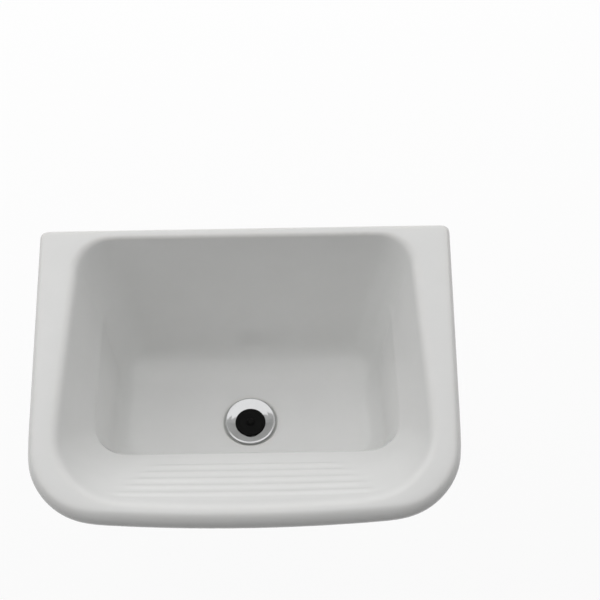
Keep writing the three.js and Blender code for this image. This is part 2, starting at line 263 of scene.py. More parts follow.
# %% The columns of the cage
# How many columns each part of the half loop takes, from the middle of the back to the front.
RECESS, STEP, LUG_BACK, LUG_EDGE, LUG_FRONT, ROOT, SIDE, CORNER, FRONT = 6, 4, 4, 3, 3, 4, 4, 5, 7


def route(*parts):
    """Stations from (stretch, first share, last share, steps) parts."""
    stations = [parts[0][:2]]
    for stretch, first, last, steps in parts:
        stations += [(stretch, mix(first, last, step / steps)) for step in range(1, steps + 1)]
    return stations


bowl_route = route(
    ("back", 0, 1, RECESS - 1),
    ("back_corner", 0, 0.165, 1),
    ("back_corner", 0.165, 0.51, STEP),
    ("back_corner", 0.51, 0.74, LUG_BACK),
    ("back_corner", 0.74, 1, LUG_EDGE + LUG_FRONT + ROOT),
    ("side", 0, 1, SIDE),
    ("front_corner", 0, 1, CORNER),
    ("front", 0, 1, FRONT),
)
rim_route = route(
    ("back", 0, 0.64, RECESS),
    ("back", 0.64, 0.74, STEP),
    ("back", 0.74, 1, LUG_BACK),
    ("back_corner", 0, 1, LUG_EDGE),
    ("side", 0, 0.10, LUG_FRONT),
    ("side", 0.10, 0.24, ROOT),
    ("side", 0.24, 1, SIDE),
    ("front_corner", 0, 1, CORNER),
    ("front", 0, 1, FRONT),
)
last_column = len(bowl_route) - 1
ring_count = 2 * last_column
print(ring_count, "columns")


# %% [markdown]
# Down the inside, the bowl's outline is wide at the lip, narrower at the washboard's lower edge and
# narrowest at the floor. The front goes down the washboard first and then down a steep wall.


# %% The bowl's outline at a drop
def bowl_outline(drop):
    upper = min((drop - lip) / (crease_drop - lip), 1)
    lower = clamp((drop - crease_drop) / (bowl_depth - crease_drop))

    def between(top, crease_in, floor_in):
        return mix(mix(top, top - crease_in, upper), top - crease_in - floor_in, lower)

    return Outline(
        back=ledge + back_lean * drop / bowl_depth,
        front=between(opening_front, shelf_run, front_wall_run),
        half_back=between(rim_half_back - side_rim_back, crease_inset_back, floor_inset_back),
        half_front=between(rim_half_front - side_rim_front, crease_inset_front, floor_inset_front),
        corner_back=mix(opening_back_corner, floor_back_corner, upper),
        corner_front=mix(opening_front_corner, crease_corner, upper),
        bow=rim_bow * (1 - clamp(upper)) ** 2,
    )


def level_ring(outline, drop, stations=bowl_route, front_drop=None):
    """The right half of a loop, as (half width, out, drop) triples."""
    last_drop = drop if front_drop is None else front_drop
    flat = [outline.at(*station) for station in stations]
    return [(p.x, p.y, mix(drop, last_drop, p.y / rim_depth)) for p in flat]


# %% The lip, from the bowl's wall to the rim
def lip_reach(stretch, share):
    """How far the lip reaches down the wall and onto the rim: least where the rim is narrow."""
    first, last = {
        "back": (lip_back, lip_back),
        "back_corner": (lip_back, lip_side),
        "side": (lip_side, lip_side),
        "front_corner": (lip_side, lip_front),
        "front": (lip_front, lip_front),
    }[stretch]
    return Vector(first).lerp(Vector(last), smooth(0, 1, share))


def lip_point(station, share):
    """A point of the lip's curve, which leaves the wall and meets the rim without a bend."""
    down, onto = lip_reach(*station)
    low = bowl_outline(down).at(*station).to_3d() + Vector((0, 0, down))
    edge = bowl_outline(0).at(*station).to_3d()
    top = bowl_outline(0).grown(onto).at(*station).to_3d()
    return tuple(low.lerp(edge, share).lerp(edge.lerp(top, share), share))


# %% Loops near the floor
def waste_ring(radius, drop):
    """A circle about the waste, with each column turned towards its place on the floor."""
    flat = [floor_edge.at(*station) for station in bowl_route]
    turns = [atan2(p.x, waste_out - p.y) for p in flat]
    return [(radius * sin(t), waste_out - radius * cos(t), drop) for t in turns]


def dished(ring, share=1.0):
    """A loop near the floor, let down towards the waste alike in all directions."""
    away = [hypot(half, out - waste_out) for half, out, _ in ring]
    falls = [floor_dish * (1 - smooth(*floor_dish_span, distance)) * share for distance in away]
    return [(half, out, drop + fall) for (half, out, drop), fall in zip(ring, falls)]


def blended(near_ring, far_ring, share):
    """The loop that lies between two others, by share."""
    pairs = zip(near_ring, far_ring)
    return [tuple(mix(a, b, share) for a, b in zip(near, far)) for near, far in pairs]


# %% Loops from the waste hole to the lip
floor_shares = (0, 0.12, 0.4, 0.75)
floor_steps = 4
wall_drops = (0.155, 0.132, 0.111)
slope_loops = 15
slope_margin_low = 0.0115
slope_margin_high = 0.0035
lip_steps = 5
floor_edge = bowl_outline(bowl_depth).grown(-floor_fillet)
inside = [
    waste_ring(cast_bore, underside_drop),
    waste_ring(cast_bore, underside_drop - bore_foot),
    waste_ring(cast_bore, seat_drop + seat_dish + bore_break),
    waste_ring(cast_bore + bore_break, seat_drop + seat_dish),
    waste_ring(seat_radius - seat_clearance, seat_drop),
    waste_ring(seat_radius, seat_drop),
]
seat_edge = waste_ring(seat_radius + seat_flare, bowl_depth)
floor_ring = level_ring(floor_edge, bowl_depth)
for share in floor_shares:
    inside.append(dished(blended(seat_edge, floor_ring, share)))
for step in range(floor_steps + 1):
    turn = pi / 2 * step / floor_steps
    drop = bowl_depth - floor_fillet * (1 - cos(turn))
    ring = level_ring(bowl_outline(drop).grown(-floor_fillet * (1 - sin(turn))), drop)
    inside.append(dished(ring, cos(turn) ** 2))
drops = [*wall_drops, crease_drop + crease_round, crease_drop, crease_drop - crease_round]
for step in range(slope_loops):
    share = step / (slope_loops - 1)
    drops.append(mix(crease_drop - slope_margin_low, lip + slope_margin_high, share))
for drop in drops:
    inside.append(level_ring(bowl_outline(drop), drop))
for step in range(lip_steps + 1):
    inside.append([lip_point(station, step / lip_steps) for station in bowl_route])
print(len(inside), "loops inside")


# %% Loops over the rim
def rim_section(turn):
    """Inset and fall of the rolled edge, in radii, for a turn from 1 on top to -1 underneath."""
    if turn < 0:
        return 1 - cos(pi / 2 * turn), 1 - sin(pi / 2 * turn)
    angle = mix(pi / 2, rim_edge_tilt, turn)
    return (1 - sin(angle)) / cos(rim_edge_tilt), 1 - cos(angle) / cos(rim_edge_tilt)


def rim_ring(turn):
    inset, down = rim_section(turn)
    outline = Outline(
        back=rim_back_edge * inset if turn > 0 else 0,
        front=front_at_sides - roll_front * inset,
        half_back=rim_half_back - roll_back * inset,
        half_front=rim_half_front - roll_front * inset,
        corner_back=rim_back_corner,
        corner_front=rim_front_corner - roll_front * inset,
        bow=rim_bow,
    )
    return level_ring(outline, roll_back * down, rim_route, roll_front * down)


roll_steps = 8
over = [rim_ring(mix(1, -1, step / roll_steps)) for step in range(roll_steps + 1)]
print(len(over), "loops over the rim")

# %% [markdown]
# Outside, the back of the casting is the hard part. Between the rim and the lugs' feet each loop
# follows, from the middle outwards: the recessed panel, a sloped step up to the wall's plane, the
# lug's back face, its edge, its front face, a hollow root and then the bowl's outer wall. Lugs drawn
# by themselves and joined on would be simpler, but cast ware has no joint there, and the joint's
# crease would show.

# %% Sizes of the lugs
under_back = 2 * roll_back  # the drop at which the rim's roll ends at the back
lug_top = rim_half_back - roll_back
lug_thickness = 0.014
lug_foot_drop = 0.102
lug_foot = 0.184  # half width of the lug's edge down there
foot_drop = 0.1005  # where the bowl's own loop starts to close under the lug's foot
landing_drop = 0.1065  # and where it is round the bowl alone
shell_drops = (0.115, 0.135, 0.160)
hole_drop = 0.047
hole_inset = 0.020  # from the lug's outer edge at its top to the bolt's axis
lug_hole = Vector((lug_top - hole_inset, hole_drop))
lug_hole_radius = 0.005
lug_boss = 0.017
lug_hollow = 0.003
recess_top = 0.156
recess_foot = 0.167
recess_corner = 0.025
step_top = 0.009  # the run of the slope between the recess and the lug
step_foot = 0.015
step_widens = 0.020  # the drop at which that run starts to grow
step_margin = 0.005  # from the slope's edges to the next column
panel_margin = 0.008  # and from the panel's edge to where the panel ends being flat
root_half = 0.189
root_gap = 0.004
root_depth = 0.008
cove = 0.007  # how deep the recess is right under the rim, where it is hollowed out
cove_skin = 0.009
cove_thicker = 0.005
cove_fall = 0.0025
cove_drop = 0.009
face_shares = (0.35, 0.646, 0.771, 0.897)  # columns across a lug's back face
front_shares = (0.165, 0.367, 0.569, 0.771)  # and across its front face
print("bolt holes", round(2 * lug_hole.x, 4), "apart,", hole_drop, "below the rim's top")


# %% The lug's edges at a drop
def lug_edge(drop):
    """Half width of a lug's outer edge: down beside the hole, round it, and in to the foot."""
    away = Vector((lug_foot, lug_foot_drop)) - lug_hole
    tangent = atan2(away.y, away.x) - acos(lug_boss / away.length)
    touch = lug_hole + Vector((cos(tangent), sin(tangent))) * lug_boss
    if drop < lug_hole.y:
        return mix(lug_top, lug_hole.x + lug_boss, clamp(drop / lug_hole.y))
    if drop < touch.y:
        return lug_hole.x + sqrt(lug_boss**2 - (drop - lug_hole.y) ** 2)
    share = (drop - touch.y) / (lug_foot_drop - touch.y)
    return mix(touch.x, lug_foot, share) - lug_hollow * sin(pi * clamp(share))


def recess_edge(drop):
    """Half width where a lug's back face begins, with the recess's round upper corner."""
    edge = mix(recess_top, recess_foot, smooth(under_back, lug_foot_drop, drop))
    above = recess_corner - (drop - under_back)
    if above <= 0:
        return edge
    return edge - recess_corner + sqrt(recess_corner**2 - min(above, recess_corner) ** 2)


def shell_outline(drop):
    """The bowl's outside: the inside grown by the wall, with the washboard's underside in front."""
    shell = bowl_outline(min(drop, bowl_depth)).grown(wall)
    if drop > crease_drop + shelf_shift:
        return shell
    above = bowl_outline(max(drop - shelf_shift, lip))
    return replace(shell, front=max(above.front, shell.front), bow=above.bow)


def panel_out(shell, half):
    """How far out the bowl's back is at a half width, round its corner."""
    beyond = max(half - (shell.half_back - shell.corner_back), 0)
    return shell.back + shell.corner_back - sqrt(shell.corner_back**2 - beyond**2)


# %% A loop round the panel, the lugs and the bowl
def outer_ring(drop, lead, skin=0.0):
    """The bowl's outside. Its front lies lower than its back by lead, and skin stands off it."""
    flat = [shell_outline(drop).grown(skin).at(*station) for station in bowl_route]
    drops = [drop + lead * p.y / rim_depth for p in flat]
    points = [shell_outline(d).grown(skin).at(*s) for d, s in zip(drops, bowl_route)]
    return [(p.x, p.y, d) for p, d in zip(points, drops)]


def lug_points(drop, panel_limit=1.0, thickness=lug_thickness):
    """Columns from the back's middle to the root, in the lugs' own sections."""
    shell = shell_outline(drop)
    edge = lug_edge(drop)
    inner = recess_edge(drop)
    step = mix(step_top, step_foot, smooth(step_widens, lug_foot_drop, drop))
    root = min(root_half, edge - root_gap)
    depth = min(panel_out(shell, inner - step), panel_limit)
    panel_edge = inner - step - step_margin
    flat = min(shell.half_back - shell.corner_back, panel_edge - panel_margin)
    halves = [flat * column / (RECESS - 1) for column in range(RECESS)] + [panel_edge]
    panel = [(half, min(panel_out(shell, half), panel_limit)) for half in halves]
    rise = [(inner - step, depth), (inner - step / 2, depth / 2), (inner, 0)]
    rise.append((inner + step_margin, 0))
    face = [(mix(inner, edge, share), 0) for share in face_shares]
    turn = [(edge, 0), (edge, thickness)]
    front = [(mix(edge, root, share), thickness) for share in front_shares]
    return [(half, out, drop) for half, out in panel + rise + face + turn + front]


def eared_ring(drop, lead, lug_drop=None, skin=0.0, **section):
    """The loop of the bowl's outside with the lugs' columns pulled out to the wall."""
    ring = outer_ring(drop, lead, skin)
    lug_drop = lug_drop or drop
    lug = lug_points(lug_drop, **section)
    thickness = section.get("thickness", lug_thickness)
    root_column = len(lug)
    ring[:root_column] = lug
    root = min(root_half, lug_edge(lug_drop) - root_gap)
    ring[root_column] = (root, thickness + root_depth, lug_drop)
    return ring


# %% Loops round the lugs
front_lead = 2 * (roll_front - roll_back)  # how much lower the roll ends in front
level_from = 0.110  # the drop below which a loop's front lies no lower than its back
lug_drops = (0.036, hole_drop, 0.058, 0.070, 0.082, 0.093)
lug_columns = RECESS + STEP + LUG_BACK + LUG_EDGE + LUG_FRONT + 2
hollowed = {"skin": cove_skin, "panel_limit": cove, "thickness": lug_thickness + cove_thicker}
outside = [
    eared_ring(under_back, front_lead, under_back + cove_fall, **hollowed),
    eared_ring(under_back + cove_drop, front_lead),
]
for drop in lug_drops:
    outside.append(eared_ring(drop, front_lead * (1 - drop / level_from)))
foot = eared_ring(foot_drop, 0, lug_foot_drop)
landing = outer_ring(landing_drop, 0)
lug_side, bowl_side = blended(foot, landing, 0.25), blended(foot, landing, 0.5)
inward = [
    lug_side[column] if RECESS < column < lug_columns else bowl_side[column]
    for column in range(len(foot))
]
outside += [foot, inward, landing]

# %% Loops down the outside of the bowl
outer_fillet = floor_fillet + wall
for drop in shell_drops:
    outside.append(outer_ring(drop, 0))
for step in range(floor_steps + 1):
    turn = pi / 2 * step / floor_steps
    drop = underside_drop - outer_fillet * (1 - sin(turn))
    ring = level_ring(shell_outline(drop).grown(-outer_fillet * (1 - cos(turn))), drop)
    outside.append(ring)
outside.append(blended(outside[-1], waste_ring(cast_bore, underside_drop), 0.5))
outside.append(waste_ring(cast_bore + bore_foot, underside_drop))
print(len(outside), "loops outside")


# %% Pull the cage out of the waste hole's circle
def lay_loop(ring, level):
    """Lays the selected loop on its ring, each vertex by its column."""
    bm = bmesh.from_edit_mesh(bpy.context.object.data)
    column_of = bm.verts.layers.int["column"]
    level_of = bm.verts.layers.int["level"]
    for vertex in bm.verts:
        if vertex.select:
            column = vertex[column_of]
            side = 1 if column <= last_column else -1
            half, out, drop = ring[column if side == 1 else ring_count - column]
            vertex.co = (side * half, -out, rim_top - drop)
            vertex[level_of] = level
    bmesh.update_edit_mesh(bpy.context.object.data)


deselect()
bpy.ops.mesh.primitive_circle_add(
    vertices=ring_count, radius=cast_bore, location=(0, 0, 0), enter_editmode=True
)
sink = named("glazed_sink")
bm = bmesh.from_edit_mesh(sink.data)
column_of = bm.verts.layers.int.new("column")
bm.verts.layers.int.new("level")
for vertex in bm.verts:
    angle = atan2(vertex.co.x, vertex.co.y) % (2 * pi)
    vertex[column_of] = round(angle / (2 * pi) * ring_count) % ring_count
bpy.ops.mesh.select_all(action="SELECT")
loops = inside + over + outside
lay_loop(loops[0], 0)
for level in range(1, len(loops)):
    bpy.ops.mesh.extrude_region_move()
    lay_loop(loops[level], level)
bpy.ops.mesh.select_mode(type="VERT")
bpy.ops.mesh.select_all(action="DESELECT")
bpy.ops.mesh.select_non_manifold(extend=False)
bpy.ops.mesh.bridge_edge_loops()
bpy.ops.mesh.select_all(action="SELECT")
bpy.ops.mesh.normals_make_consistent(inside=False)
print("cage loops", len(loops))

# %% [markdown]
# A bolt hole goes through each lug. A Boolean cutter would be quicker, but it leaves thin faces that
# pinch the glaze when they are subdivided. So in the cage a hole starts as the four faces round one
# vertex, on the lug's back and on its front. They are inset twice, the inset loops are laid on
# circles, the faces inside are deleted and the two openings are bridged. An eight-sided loop draws
# in when it is subdivided, so the circles are made larger by that much.

# %% Open the bolt holes
hole_level = loops.index(outside[2 + lug_drops.index(hole_drop)])
hole_back_column = RECESS + STEP + LUG_BACK - 1
hole_front_column = hole_back_column + LUG_EDGE + 2
hole_rounding = 0.0016
hole_cuts = 2
inset_width = 0.002
drawn_in = (2 + cos(pi / 4)) / 3


def lay_on_circle(vertices, centre, radius):
    """Spreads vertices evenly on an upright circle, in the order that they already have."""
    turns = {v: atan2(v.co.z - centre.y, v.co.x - centre.x) for v in vertices}
    ordered = sorted(vertices, key=turns.get)
    even = 2 * pi / len(ordered)
    offset = sum(turns[v] - even * index for index, v in enumerate(ordered)) / len(ordered)
    for index, vertex in enumerate(ordered):
        vertex.co.x = centre.x + radius * cos(offset + even * index)
        vertex.co.z = centre.y + radius * sin(offset + even * index)


def start_hole(column, side):
    """Insets the four faces round a vertex to circles about the bolt, and deletes what is inside."""
    mesh = bpy.context.object.data
    column = column if side == 1 else ring_count - column
    bpy.ops.mesh.select_all(action="DESELECT")
    bm = bmesh.from_edit_mesh(mesh)
    column_of = bm.verts.layers.int["column"]
    level_of = bm.verts.layers.int["level"]
    for vertex in bm.verts:
        beside = abs(vertex[column_of] - column) <= 1
        vertex.select = beside and abs(vertex[level_of] - hole_level) <= 1
    bm.select_flush(True)
    bmesh.update_edit_mesh(mesh)
    for radius in (lug_hole_radius + hole_rounding, lug_hole_radius):
        bpy.ops.mesh.inset(thickness=inset_width)
        bm = bmesh.from_edit_mesh(mesh)
        lay_on_circle(
            [v for v in bm.verts if v.select and not all(face.select for face in v.link_faces)],
            Vector((side * lug_hole.x, rim_top - lug_hole.y)),
            radius / drawn_in,
        )
        bmesh.update_edit_mesh(mesh)
    bpy.ops.mesh.delete(type="FACE")


for side in (1, -1):
    start_hole(hole_back_column, side)
    start_hole(hole_front_column, side)
    bpy.ops.mesh.select_all(action="DESELECT")
    bpy.ops.mesh.select_non_manifold(extend=False)
    bpy.ops.mesh.bridge_edge_loops(number_cuts=hole_cuts)
bpy.ops.mesh.select_all(action="DESELECT")
bpy.ops.mesh.select_non_manifold(extend=False)
open_edges = bpy.context.object.data.total_edge_sel
bpy.ops.mesh.select_all(action="SELECT")
bpy.ops.mesh.normals_make_consistent(inside=False)
bpy.ops.object.mode_set(mode="OBJECT")
print("open edges left:", open_edges)
report(sink)

# %% Soften the cage
subdivided(sink, 2)
report(sink)

# %% [markdown]
# The washboard's ribs are low, soft waves that lie straight across the slope and fade out at their
# ends. As loops of the cage they would bend with the rim's bow, so they are raised out of the
# finished skin: a vertex group holds how high each vertex lies on a rib, from 0 to 1, and a Displace
# modifier lifts the skin by it along its normals. Their places are distances out of the wall,
# because seen from above they are straight.

# %% Sizes of the ribs
rib_count = 5
rib_lowest = 0.2924
rib_highest = 0.3470
rib_pitch = (rib_highest - rib_lowest) / (rib_count - 1)
rib_half_width = 0.0062
rib_height = 0.0010
rib_length_low = 0.250
rib_length_high = 0.330
rib_fade = 0.030
least_tilt = 0.3  # how far a normal on the slope leans to the wall and up, at least


# %% Raise the ribs
def rib_share(point, normal):
    """How high a point of the skin lies on a rib, from 0 to 1."""
    index = round((-point.y - rib_lowest) / rib_pitch)
    on_slope = min(normal.y, normal.z) > least_tilt
    if not on_slope or not 0 <= index < rib_count:
        return 0
    across = (-point.y - rib_lowest - index * rib_pitch) / rib_half_width
    if abs(across) >= 1:
        return 0
    half_length = mix(rib_length_low, rib_length_high, index / (rib_count - 1)) / 2
    ends = 1 - smooth(half_length - rib_fade, half_length, abs(point.x))
    return (1 + cos(pi * across)) / 2 * ends


activate(sink)
group = sink.vertex_groups.new(name="ribs")
lifted = 0
for vertex in sink.data.vertices:
    share = rib_share(vertex.co, vertex.normal)
    if share > 0:
        group.add([vertex.index], share, "REPLACE")
        lifted += 1
finish_with(sink, "DISPLACE", strength=rib_height, mid_level=0, vertex_group="ribs")
sink.vertex_groups.clear()
bpy.ops.object.shade_smooth()
print(lifted, "vertices lifted for", rib_count, "ribs")
report(sink)
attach(sink, "sink")
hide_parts("sink_body")

# %% [markdown]
# ## The waste fitting
# The waste is turned metal with rings of rubber and plastic, all about one upright axis. A section
# that is drawn and spun would do, but it has a seam to merge. So a turned piece is pulled out of a
# circle too: the loop is extruded, scaled about the axis and moved up or down, once for every point
# of the piece's section, and the last loop is bridged to the first. A section is written as its few
# corners, each a radius, a height and how far it is rounded, and the round corners are filled in
# with arcs.

# %% Sizes about the waste's axis
turn_steps = 96
gap = 0.0003  # between the plug and its seat
flange_radius = waste_high.x
flange_top = waste_high.z
flange_edge = 0.0036
bevel_run = 0.0018
bevel_fall = 0.0009
dish_depth = 0.0059
dish_bend = (0.58, 0.54)  # where the dish bends, as shares of its run and of its fall
tail_radius = 0.02095
tail_bore = 0.0160
tail_break = 0.0008  # how far the tail's end is broken
ring_clearance = 0.00035
plug_low, plug_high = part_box("plug")
plug_radius = plug_high.x
plug_taper = 0.0016
plug_dish = 0.0012
grip_radius = 0.0045
grip_height = 0.003
plug_top = plug_high.z - grip_height
ring_bore = tail_radius + ring_clearance
dish_inner = plug_radius + gap
dish_slope = dish_depth / (flange_radius - dish_inner)
print("flange slopes", round(degrees(atan2(dish_slope, 1)), 1), "degrees to the plug")


# %% A helper that turns a section about the axis
def rounded(section, steps=5):
    """A closed section's points, with an arc at each corner that has a rounding."""
    corners = [Vector(corner[:2]) for corner in section]
    points = []
    for index, corner in enumerate(section):
        if len(corner) == 2:
            points.append(corners[index])
            continue
        after = corners[(index + 1) % len(corners)]
        arc = corner_arc(corners[index - 1], corners[index], after, corner[2])
        points += [arc(step / steps) for step in range(steps + 1)]
    return points


def turned(name, section, hollow=True):
    """A section of (radius, height) corners, turned about the waste's axis and closed."""
    points = rounded(section)
    deselect()
    bpy.ops.mesh.primitive_circle_add(
        vertices=turn_steps,
        radius=points[0].x,
        location=(0, -waste_out, points[0].y),
        enter_editmode=True,
    )
    piece = named(name)
    for before, after in zip(points, points[1:]):
        scale = after.x / before.x
        bpy.ops.mesh.extrude_region_move()
        bpy.ops.transform.resize(value=(scale, scale, 1), center_override=(0, -waste_out, 0))
        bpy.ops.transform.translate(value=(0, 0, after.y - before.y))
    bpy.ops.mesh.select_all(action="DESELECT")
    bpy.ops.mesh.select_non_manifold(extend=False)
    if hollow:
        bpy.ops.mesh.bridge_edge_loops()
    else:
        bpy.ops.mesh.fill_holes(sides=0)
    bpy.ops.mesh.select_all(action="SELECT")
    bpy.ops.mesh.normals_make_consistent(inside=False)
    bpy.ops.object.mode_set(mode="OBJECT")
    bpy.ops.object.transform_apply(location=True, rotation=False, scale=False)
    bpy.ops.object.shade_smooth_by_angle(angle=radians(35))
    return piece


def fit(piece, body):
    """Says what the piece rides on and hides the node that it stands for."""
    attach(piece, body)
    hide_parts(piece.name[: -len("_fine")])
    report(piece)


# %% [markdown]
# The flange and its long threaded tail are one chromed casting. The flange is dished towards the
# plug, with a narrow bevel round its brim, which is what catches the light in front, and the plug's
# seat tapers below it. A thread made by a Screw modifier would be a strip of its own, to be joined
# to the tail. Here the tail's outside, one tall band of faces, is subdivided into many rows instead,
# and their vertices are moved in towards the thread's root by a formula of height and angle, which
# makes a true helix in one skin with the tail.

# %% The flange and its tail
def under_flange(radius):
    return flange_top - flange_edge - dish_slope * (flange_radius - radius)


thread_lead = 0.0015  # the plain end of the tail
thread_runout = 0.006  # and the plain stretch under the flange
dish_foot = flange_top - dish_depth
bend_radius = mix(flange_radius, dish_inner, dish_bend[0])
bend_height = mix(flange_top, dish_foot, dish_bend[1])
shoulder = plug_low.z - gap
seat_foot = plug_radius - plug_taper + gap
thread_end = waste_low.z + thread_lead
thread_start = under_flange(tail_radius) - thread_runout
waste_flange = turned("waste_flange_fine", [
    (tail_bore, waste_low.z, 0.0004),
    (tail_radius - tail_break, waste_low.z, 0.0003),
    (tail_radius, thread_end),
    (tail_radius, thread_start),
    (tail_radius, under_flange(tail_radius), 0.0008),
    (flange_radius, under_flange(flange_radius), 0.0005),
    (flange_radius, flange_top - bevel_fall, 0.0005),
    (flange_radius - bevel_run, flange_top, 0.0003),
    (bend_radius, bend_height, 0.012),
    (dish_inner, dish_foot, 0.0006),
    (seat_foot, shoulder, 0.0003),
    (tail_bore, shoulder, 0.0005),
])

# %% Cut the tail's thread
thread_pitch = 0.002309
thread_depth = 0.64 * thread_pitch
thread_fade = 0.003
thread_cuts = 17  # a pass makes 18 rows out of every one
thread_passes = 2
near_enough = 1e-5


def on_tail(vertex):
    """Whether a vertex lies on the tail's outside, where the thread is."""
    low, high = thread_end - near_enough, thread_start + near_enough
    radius = hypot(vertex.co.x, vertex.co.y + waste_out)
    return radius > tail_radius - near_enough and low < vertex.co.z < high


activate(waste_flange)
bpy.ops.object.mode_set(mode="EDIT")
for _ in range(thread_passes):
    bpy.ops.mesh.select_all(action="DESELECT")
    bm = bmesh.from_edit_mesh(waste_flange.data)
    for edge in bm.edges:
        upright = abs(edge.verts[0].co.z - edge.verts[1].co.z) > near_enough
        edge.select = upright and all(on_tail(vertex) for vertex in edge.verts)
    bmesh.update_edit_mesh(waste_flange.data)
    bpy.ops.mesh.subdivide(number_cuts=thread_cuts)
bpy.ops.object.mode_set(mode="OBJECT")
for vertex in waste_flange.data.vertices:
    if on_tail(vertex):
        x, y = vertex.co.x, vertex.co.y + waste_out
        turns = vertex.co.z / thread_pitch - atan2(y, x) / (2 * pi)
        fade = smooth(0, thread_fade, thread_start - vertex.co.z)
        cut = thread_depth * fade * (1 - cos(2 * pi * turns)) / 2
        scale = 1 - cut / hypot(x, y)
        vertex.co.x = x * scale
        vertex.co.y = y * scale - waste_out
print("thread turns", round((thread_start - thread_end) / thread_pitch, 1))
fit(waste_flange, "sink")

# %% [markdown]
# Four rings clamp the flange to the ceramic: a dished rubber seal above, and below the floor a thick
# rubber seal, a slippery plastic washer and the nut. A torus or a bevelled tube would come close,
# but turned like the flange, each fills its node's box exactly. Rubber under load bulges a little,
# so the thick seal has big round edges, and the washer's are only broken.

# %% The seals and the washer
def flat_ring(name, rounding):
    """A flat ring that fills the box of the node it stands for."""
    low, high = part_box(name)
    ring = turned(name + "_fine", [
        (ring_bore, low.z, rounding),
        (high.x, low.z, rounding),
        (high.x, high.z, rounding),
        (ring_bore, high.z, rounding),
    ])
    fit(ring, "sink")
    return ring


seal_low, seal_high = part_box("upper_seal")
seal_fall = dish_slope * (seal_high.x - ring_bore)
seal_thickness = seal_high.z - seal_low.z - seal_fall
upper_seal = turned("upper_seal_fine", [
    (ring_bore, seal_low.z, 0.0003),
    (seal_high.x, seal_low.z + seal_fall, 0.0007),
    (seal_high.x, seal_high.z, 0.0007),
    (ring_bore, seal_low.z + seal_thickness, 0.0003),
])
fit(upper_seal, "sink")
lower_seal = flat_ring("lower_seal", 0.0012)
friction_washer = flat_ring("friction_washer", 0.0003)

# %% [markdown]
# A real nut is a slice of six-sided brass bar, drilled and turned, so that its corners are cut off
# at a slant. Its form is what a turned blank and a six-sided cylinder have in common: the blank
# brings the bore, its countersinks and the slanted shoulders, and the cylinder brings the flats.
# Bevelling the cylinder alone wouldn't give the flats their round shoulders. A narrow bevel then
# breaks the edges, as the tumbling drum does with the real ones.

# %% The nut
nut_low, nut_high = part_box("backnut")
nut_corner = nut_high.x / cos(pi / 6)
nut_face = 0.97 * nut_high.x  # where the shoulders start, just inside the flats
shoulder_tilt = radians(24)
shoulder_fall = (nut_corner - nut_face) * tan(shoulder_tilt)
countersink = 0.001
backnut = turned("backnut_fine", [
    (ring_bore, nut_low.z + countersink),
    (ring_bore + countersink, nut_low.z),
    (nut_face, nut_low.z),
    (nut_corner, nut_low.z + shoulder_fall),
    (nut_corner, nut_high.z - shoulder_fall),
    (nut_face, nut_high.z),
    (ring_bore + countersink, nut_high.z),
    (ring_bore, nut_high.z - countersink),
])
deselect()
bpy.ops.mesh.primitive_cylinder_add(
    vertices=6,
    radius=nut_corner,
    depth=2 * (nut_high.z - nut_low.z),
    location=(0, -waste_out, (nut_low.z + nut_high.z) / 2),
)
hexagon = named("hexagon")
finish_with(backnut, "BOOLEAN", operation="INTERSECT", object=hexagon, solver="EXACT")
bpy.data.objects.remove(hexagon)
finish_with(
    backnut, "BEVEL", width=0.0004, segments=3, limit_method="ANGLE", angle_limit=radians(40)
)
bpy.ops.object.shade_smooth_by_angle(angle=radians(14))
fit(backnut, "sink")

# %% [markdown]
# The plug is moulded rubber. Its side tapers into the seat, its top is a shallow dish inside a round
# rim, and a stub in the middle is what fingers pull it out by. It could be a bevelled disc with a
# cylinder on it, but one turned section gives the soft corner at the stub's foot as well. It is the
# one piece that moves, so it rides on a body of its own.

# %% The plug
pole = 0.0005  # the radius of the small faces that close the section at the axis
grip_draft = 0.0009
plug = turned("plug_fine", [
    (pole, plug_low.z),
    (plug_radius - plug_taper, plug_low.z, 0.0009),
    (plug_radius, plug_top - plug_dish),
    (plug_radius, plug_top, 0.0010),
    (plug_radius - 3 * plug_dish, plug_top - plug_dish, 0.0020),
    (grip_radius + grip_draft, plug_top - plug_dish, 0.0012),
    (grip_radius - grip_draft, plug_high.z, 0.0013),
    (pole, plug_high.z),
], hollow=False)
fit(plug, "plug")

# %% [markdown]
# ## Finishes
# A finish could be painted on pictures that are wrapped round the piece, but a casting has no good
# place for their seams. So every finish is worked out by nodes from the place on the piece, and looks
# right from every side. One thing can't be told from the place alone, which is how sharply the
# surface curves there. Glaze runs thin over edges and pools in hollows, and rubbing and handling
# reach the edges of metal first. So each piece carries its mean curvature as an attribute, measured
# on the finished mesh: along an edge to a neighbour, it is twice the drop below the tangent plane
# over the squared distance.


